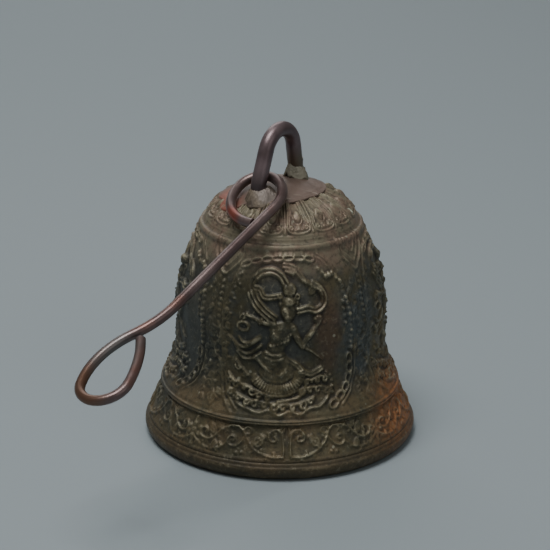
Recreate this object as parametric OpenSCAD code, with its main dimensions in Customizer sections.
// Temple bell with a wire crown loop, a hanging link and an inside clapper.
// The origin is the middle of the mouth, on the plane that the rim rests on. +Z runs up the bell's axis.
// -Y is the front, where a medallion faces the viewer, and the hanging link leans out to the front left.

/* [Bell casting] */
// Largest radius of the lip
lip_r = 53.6; // [52.8:0.2:54.4]
// Radius of the rounding on the lip
lip_round = 4.2; // [3.5:0.1:4.6]
// Radius of the flat rest ring's inner edge
rim_in_r = 46; // [45:0.2:46.8]
// Height of the moulding that parts the skirt from the waist
moulding_z = 21.4; // [19:0.2:23]
// Radius at the moulding
moulding_r = 46.4; // [45.6:0.2:47.2]
// Radius at the narrowest straight part of the waist
waist_r = 39.6; // [39:0.2:40.2]
// Height where the flare below ends and the shoulder's slope begins
waist_z = 56; // [52:1:60]
// Radius at the top of the waist
shoulder_r = 32; // [31.6:0.1:32.4]
// Height of the top of the waist
shoulder_z = 84; // [83.6:0.1:84.2]
// Radius of the rounding that carries the petals
petal_arc_r = 21.4; // [21.2:0.1:21.6]
// Radius of the flat dome on top, under the crown plate
dome_r = 48.7; // [48.2:0.1:49]
// Height of the dome's top
dome_top_z = 101.9; // [101.7:0.1:102.1]
// Wall thickness of the waist
wall = 4; // [3.4:0.1:4.4]
// Height of the flat inside the crown
crown_inside_z = 93.5; // [93:0.1:94]

/* [Relief] */
// How far the petals and the medallion frames stand proud
relief = 0.9; // [0.5:0.1:1.2]
// Number of lotus petals on the shoulder
petals = 16; // [8:1:16]
// Turn of one petal's middle from the front
petal_turn = 14; // [0:0.5:22]
// Number of medallions round the waist
medallions = 4; // [2:1:4]
// Turn of the front medallion about the axis
medallion_turn = 8.5; // [0:0.5:20]
// Half width of a medallion
medallion_half_w = 24; // [20:0.5:25]
// Height of a medallion's centre
medallion_z = 53; // [50:0.5:55]

/* [Crown plate] */
// Radius of the plate
plate_r = 20.9; // [20.4:0.1:21.2]
// Thickness of the plate
plate_t = 1.3; // [1:0.1:1.5]
// How far the plate's middle lies to the left of the axis
plate_left = 3.6; // [3:0.1:4]
// How far the plate's middle lies behind the axis
plate_back = 3.6; // [3.2:0.1:4]

/* [Crown loop] */
// Diameter of the loop's rod
loop_d = 6; // [5.6:0.1:6.2]
// Place of the front leg, X
front_leg_x = -8.9; // [-9.2:0.1:-8.6]
// Place of the front leg, Y
front_leg_y = -11.6; // [-11.9:0.1:-11.3]
// Direction of the loop's plane
loop_azimuth = 55.7; // [54:0.1:57]
// How far the front leg leans back
front_lean = 22; // [20:0.5:23]
// Length of the front leg's leaning stretch
front_straight = 11.8; // [11:0.1:12]
// Mean radius of the loop's top
loop_bend_r = 9.6; // [9.4:0.1:9.8]
// Height where the front leg begins to lean
front_foot_z = 103.8; // [103.6:0.1:104]
// Height of the lump round the rear leg
rear_foot_z = 106.5; // [106:0.1:107]

/* [Hanging link] */
// Diameter of the link's wire
link_d = 4; // [3.8:0.1:4.1]
// Direction in which the link leans out
link_azimuth = 228; // [227:0.5:229]
// How far the link slopes down from level
link_drop = 23; // [22:0.1:23.5]
// Mean radius of the upper eye's narrow side
eye_r = 8.2; // [8.1:0.1:8.3]
// Length of the straight shaft
shaft_l = 59.5; // [50:0.5:61]

/* [Clapper] */
// Height of the bar that the clapper hangs on
clapper_pivot_z = 86.5; // [86:0.1:87]
// Diameter of the staple's wire
staple_d = 3; // [2.8:0.1:3]
// Diameter of the clapper's rod
rod_d = 4; // [3.6:0.1:4.2]
// Radius of the clapper's ball
ball_r = 9; // [8:0.2:9.4]
// Height of the ball's centre
ball_z = 26; // [24:0.5:30]

/* [Hidden] */
$fn = 72;
STEPS = 8;
slack = 0.05;
lap = 0.3;
seam = 0.03;
DOME_FN = 200;
dome_z = dome_top_z - dome_r;
skirt_bottom_z = lip_round * (1 + sin(50));
skirt_top_z = moulding_z - 1.6;
skirt_flare = lip_r - lip_round * (1 - cos(50)) - moulding_r;
bead_r = 1.1;
waist_bottom_z = moulding_z + 1.6;
waist_flare = moulding_r - waist_r;
band_r = 2;
dome_edge_r = 20;
dome_edge_slope = asin(dome_edge_r / dome_r);
petal_foot_slope = 60;
petal_tilt = 44;
petal_w = 7.6;
petal_l = 10;
petal_arc_centre = [dome_edge_r, dome_z + dome_r * cos(dome_edge_slope)]
    - petal_arc_r * [sin(dome_edge_slope), cos(dome_edge_slope)];
crown_flat_r = 19.6;
loop_r = loop_d / 2;
leg_hole_r = loop_r + slack;
elbow_r = 7.8;
top_turn = 148;
rear_straight = 8.7;
rear_lean = 180 - top_turn - front_lean;
washer_t = 1.3;
washer_r = 5;
head_t = 1.6;
head_r = 4.2;
leg_end_z = crown_inside_z - washer_t - head_t;
solder_front_base_r = 4.8;
solder_front_top_r = 3.6;
solder_rear_base_r = 5.4;
solder_rear_top_r = 3.6;
link_r = link_d / 2;
shaft_start = 6.9;
shaft_side = 13.9;
shaft_turn = 2;
eye_back_r = 15.2;
eye_back_turn = 82;
eye_turn = 99;
eye_front_r = 18;
eye_front_turn = 95.5;
throat_r = 38;
throat_turn = 30;
belly_r = 30;
belly_turn = 57;
tip_r = 9.3;
tip_turn = 170;
return_r = 54;
return_turn = 25;
staple_r = 4;
staple_wire_r = staple_d / 2;
staple_root_z = crown_inside_z + 3;
eye_gap = 0.3;
clapper_wire_r = 1.6;
clapper_eye_r = 4.2;
clapper_eye_z = clapper_pivot_z + staple_wire_r + eye_gap - (clapper_eye_r - clapper_wire_r);
rod_r = rod_d / 2;
ball_flat = ball_r - 0.5;
collar_r = 3.2;
collar_t = 1.4;
rivet_r = 2.9;
rivet_t = 1.2;

// The front leg's foot and the direction along the loop
function along(a, s) = [s * cos(a), s * sin(a)];
function loop_span() =
    elbow_r * (1 - cos(front_lean)) + front_straight * sin(front_lean)
    + loop_bend_r * (cos(front_lean) + cos(rear_lean))
    + rear_straight * sin(rear_lean) + elbow_r * (1 - cos(rear_lean));
rear_leg = [front_leg_x, front_leg_y] + along(loop_azimuth, loop_span());
rear_bend_z = front_foot_z + elbow_r * sin(front_lean) + front_straight * cos(front_lean)
    + loop_bend_r * (sin(front_lean) - sin(rear_lean))
    - rear_straight * cos(rear_lean) - elbow_r * sin(rear_lean);

// Outer radius of the skirt and of the waist at a height
function skirt_at(z) = moulding_r + skirt_flare * pow((skirt_top_z - z) / (skirt_top_z - skirt_bottom_z), 1.1);
function flare_at(z) = waist_r + waist_flare * pow((waist_z - z) / (waist_z - waist_bottom_z), 4);
function slope_at(z) = waist_r - (waist_r - shoulder_r) * pow((z - waist_z) / (shoulder_z - waist_z), 1.5);
function waist_at(z) = z < waist_z ? flare_at(z) : slope_at(z);
function between(a, b, i) = a + (b - a) * i / STEPS;
function arc(centre, r, from, to) =
    [for (i = [0:STEPS]) centre + r * [cos(between(from, to, i)), sin(between(from, to, i))]];
function waist_line(grow) =
    [for (i = [0:2 * STEPS]) let (z = waist_bottom_z + (shoulder_z - waist_bottom_z) * i / STEPS / 2)
        [waist_at(z) + grow, z]];
function petal_line(grow) =
    arc(petal_arc_centre, petal_arc_r + grow, 90 - petal_foot_slope, 90 - dome_edge_slope);
function backwards(line) = [for (i = [len(line) - 1:-1:0]) line[i]];

// The outside from the rest ring up to the dome's top
outside = concat(
    arc([lip_r - lip_round, lip_round], lip_round, -90, 50),
    [for (i = [1:STEPS]) let (z = between(skirt_bottom_z, skirt_top_z, i)) [skirt_at(z), z]],
    arc([moulding_r, moulding_z], bead_r, -80, 80),
    waist_line(0),
    arc([shoulder_r - band_r, shoulder_z + band_r], band_r, -20, 80),
    petal_line(0),
    arc([0, dome_z], dome_r, 90 - dome_edge_slope, 90));

// The inside from the crown's flat down to the rest ring
inside = [
    [0, crown_inside_z],
    [crown_flat_r, crown_inside_z],
    [crown_flat_r + 5.5, crown_inside_z - 4],
    [shoulder_r - wall, shoulder_z - 1.5],
    for (i = [1:STEPS]) let (z = between(shoulder_z - 2, waist_bottom_z, i)) [waist_at(z) - wall, z],
    [rim_in_r - 0.6, skirt_bottom_z + 3],
    [rim_in_r, 0]];

// A wire's straight stretch and its bends, each carrying what follows on its far end. It starts along +X.
// A bend is finer than its neighbours by the seam and laps into them, so that each joint is a clean step.
module straight(wire_r, length) {
    rotate([0, 90, 0])
        cylinder(r = wire_r, h = length);
    translate([length, 0, 0])
        children();
}

module bend_left(wire_r, bend_r, turn) {
    lap_turn = lap / bend_r * 180 / PI;
    translate([0, bend_r, 0])
        rotate([0, 0, -90 - lap_turn])
            rotate_extrude(angle = turn + 2 * lap_turn)
                translate([bend_r, 0])
                    circle(r = wire_r);
    translate([bend_r * sin(turn), bend_r * (1 - cos(turn)), 0])
        rotate([0, 0, turn])
            children();
}

module bend_right(wire_r, bend_r, turn) {
    mirror([0, 1, 0])
        bend_left(wire_r, bend_r, turn)
            mirror([0, 1, 0])
                children();
}

// A lotus petal's outline: a round tip below straight sides
module petal_outline(w, l) {
    translate([0, -l / 2 + w / 2])
        circle(r = w / 2);
    translate([-w / 2, -l / 2 + w / 2])
        square([w, l - w / 2]);
}

// A medallion's outline: two arcs that meet at a blunt point above and below
module medallion_outline(half_w, half_h) {
    arc_r = (half_w * half_w + half_h * half_h) / (2 * half_w);
    intersection() {
        translate([half_w - arc_r, 0])
            circle(r = arc_r);
        translate([arc_r - half_w, 0])
            circle(r = arc_r);
        square([2 * half_w, 1.84 * half_h], center = true);
    }
}

module petal_relief() {
    for (i = [0:petals - 1])
        intersection() {
            rotate_extrude($fn = DOME_FN)
                polygon(concat(petal_line(relief), backwards(petal_line(-1))));
            rotate([0, 0, petal_turn + 360 * i / petals])
                translate([0, -petal_arc_centre.x, petal_arc_centre.y])
                    rotate([petal_tilt, 0, 0])
                        translate([0, 0, petal_arc_r - 2])
                            linear_extrude(height = 8)
                                petal_outline(petal_w, petal_l);
        }
}

module medallion_relief() {
    half_h = 29;
    frame_w = 2.4;
    for (i = [0:medallions - 1])
        intersection() {
            rotate_extrude()
                polygon(concat(waist_line(relief), backwards(waist_line(-1))));
            rotate([0, 0, medallion_turn + 360 * i / medallions])
                translate([0, -waist_r + 8, medallion_z])
                    rotate([90, 0, 0])
                        linear_extrude(height = 20)
                            difference() {
                                medallion_outline(medallion_half_w, half_h);
                                medallion_outline(medallion_half_w - frame_w, half_h - frame_w);
                            }
        }
}

module leg_holes(r) {
    for (leg = [[front_leg_x, front_leg_y], rear_leg])
        translate([leg.x, leg.y, crown_inside_z - 20])
            cylinder(r = r, h = 50);
}

module bell_shell() {
    color("#6b5a3c")
        difference() {
            union() {
                rotate_extrude()
                    polygon(concat(outside, inside));
                difference() {
                    petal_relief();
                    plate_outline(plate_r + lap);
                }
                medallion_relief();
            }
            leg_holes(leg_hole_r);
            for (side = [-1, 1])
                translate([side * staple_r, 0, crown_inside_z - 1])
                    cylinder(r = staple_wire_r + slack, h = staple_root_z - crown_inside_z + 1);
        }
}

// An upright cylinder about the plate's middle
module plate_outline(r) {
    translate([-plate_left, plate_back, dome_z])
        cylinder(r = r, h = 2 * dome_r);
}

// The plate is a piece of a domed sheet, cut round about a point off the bell's axis
module crown_plate() {
    color("#8a7068")
        difference() {
            intersection() {
                translate([0, 0, dome_z])
                    sphere(r = dome_r + plate_t, $fn = DOME_FN);
                plate_outline(plate_r);
            }
            translate([0, 0, dome_z])
                sphere(r = dome_r, $fn = DOME_FN);
            leg_holes(leg_hole_r);
        }
}

module leg_head(leg) {
    translate([leg.x, leg.y, leg_end_z])
        cylinder(r = head_r, h = head_t);
}

// The rod runs up the front leg, over the top and down the rear leg, in one upright plane
module crown_loop() {
    color("#5a4a48")
        union() {
            translate([front_leg_x, front_leg_y, leg_end_z])
                cylinder(r = loop_r, h = front_foot_z - leg_end_z);
            translate([front_leg_x, front_leg_y, front_foot_z])
                rotate([0, 0, loop_azimuth])
                    rotate([90, 0, 0])
                        rotate([0, 0, 90])
                            bend_right(loop_r - seam, elbow_r, front_lean)
                                straight(loop_r, front_straight)
                                    bend_right(loop_r - seam, loop_bend_r, top_turn)
                                        straight(loop_r, rear_straight)
                                            bend_right(loop_r - seam, elbow_r, rear_lean);
            translate([rear_leg.x, rear_leg.y, leg_end_z])
                cylinder(r = loop_r, h = rear_bend_z - leg_end_z);
            leg_head([front_leg_x, front_leg_y]);
            leg_head(rear_leg);
        }
}

// A lump of solder: a cone on the plate with the leg through it
module solder(leg, top_z, top_r, base_r) {
    foot_z = dome_z + 30;
    difference() {
        translate([leg.x, leg.y, foot_z])
            cylinder(r1 = top_r + (base_r - top_r) * (top_z - foot_z) / (top_z - dome_top_z + plate_t),
                r2 = top_r, h = top_z - foot_z);
        translate([0, 0, dome_z])
            sphere(r = dome_r + plate_t, $fn = DOME_FN);
        leg_holes(leg_hole_r);
    }
}

module solder_front() {
    color("#8c8a80")
        solder([front_leg_x, front_leg_y], front_foot_z, solder_front_top_r, solder_front_base_r);
}

module solder_rear() {
    color("#76806c")
        solder(rear_leg, rear_foot_z, solder_rear_top_r, solder_rear_base_r);
}

module washer(leg) {
    translate([leg.x, leg.y, crown_inside_z - washer_t])
        difference() {
            cylinder(r = washer_r, h = washer_t);
            translate([0, 0, -1])
                cylinder(r = leg_hole_r, h = washer_t + 2);
        }
}

module washer_front() {
    color("#7c6a50")
        washer([front_leg_x, front_leg_y]);
}

module washer_rear() {
    color("#7c6a50")
        washer(rear_leg);
}

// A U of wire, cast in by its two ends
module clapper_staple() {
    color("#54463a")
        union() {
            translate([0, 0, clapper_pivot_z + staple_r])
                rotate([90, 0, 0])
                    rotate([0, 0, 180])
                        rotate_extrude(angle = 180)
                            translate([staple_r, 0])
                                circle(r = staple_wire_r);
            for (side = [-1, 1])
                translate([side * staple_r, 0, clapper_pivot_z + staple_r])
                    cylinder(r = staple_wire_r, h = staple_root_z - clapper_pivot_z - staple_r);
        }
}

// An iron rod with a closed eye above and a collar that the ball seats against
module clapper_rod() {
    color("#4c4038")
        union() {
            translate([0, 0, clapper_eye_z])
                rotate([0, 90, 0])
                    rotate_extrude()
                        translate([clapper_eye_r, 0])
                            circle(r = clapper_wire_r);
            translate([0, 0, ball_z - ball_flat - rivet_t])
                cylinder(r = rod_r, h = clapper_eye_z - clapper_eye_r - ball_z + ball_flat + rivet_t);
            translate([0, 0, ball_z + ball_flat])
                cylinder(r = collar_r, h = collar_t);
        }
}

module clapper_ball() {
    color("#5f5038")
        difference() {
            intersection() {
                translate([0, 0, ball_z])
                    sphere(r = ball_r);
                translate([0, 0, ball_z - ball_flat])
                    cylinder(r = ball_r + 1, h = 2 * ball_flat);
            }
            translate([0, 0, ball_z - ball_r - 1])
                cylinder(r = rod_r + slack, h = 2 * ball_r + 2);
        }
}

// A washer under the ball that the rod's end is riveted over
module clapper_rivet() {
    color("#7c6a50")
        translate([0, 0, ball_z - ball_flat - rivet_t])
            difference() {
                cylinder(r = rivet_r + 1, h = rivet_t);
                translate([0, 0, -1])
                    cylinder(r = rod_r + slack, h = rivet_t + 2);
            }
}

// One wire with an eye round the front leg, a long shaft and a teardrop eye at its free end.
// It is drawn flat with the front leg at the origin and the shaft along +X, then laid at its lean.
module hanging_link() {
    eye_centre_z = front_foot_z - 0.25;
    color("#6e5552")
        translate([front_leg_x, front_leg_y, eye_centre_z])
            rotate([0, 0, link_azimuth])
                rotate([0, link_drop, 0])
                    translate([shaft_start, shaft_side, 0])
                        union() {
                            rotate([0, 0, shaft_turn])
                                straight(link_r, shaft_l)
                                    bend_right(link_r - seam, throat_r, throat_turn)
                                        bend_left(link_r - 2 * seam, belly_r, belly_turn)
                                            bend_left(link_r - 3 * seam, tip_r, tip_turn)
                                                bend_left(link_r - 4 * seam, return_r, return_turn);
                            rotate([0, 0, 180 + shaft_turn])
                                bend_left(link_r - seam, eye_back_r, eye_back_turn)
                                    bend_left(link_r - 2 * seam, eye_r, eye_turn)
                                        bend_left(link_r - 3 * seam, eye_front_r, eye_front_turn);
                        }
}

bell_shell();
crown_plate();
crown_loop();
solder_front();
solder_rear();
washer_front();
washer_rear();
clapper_staple();
clapper_rod();
clapper_ball();
clapper_rivet();
hanging_link();
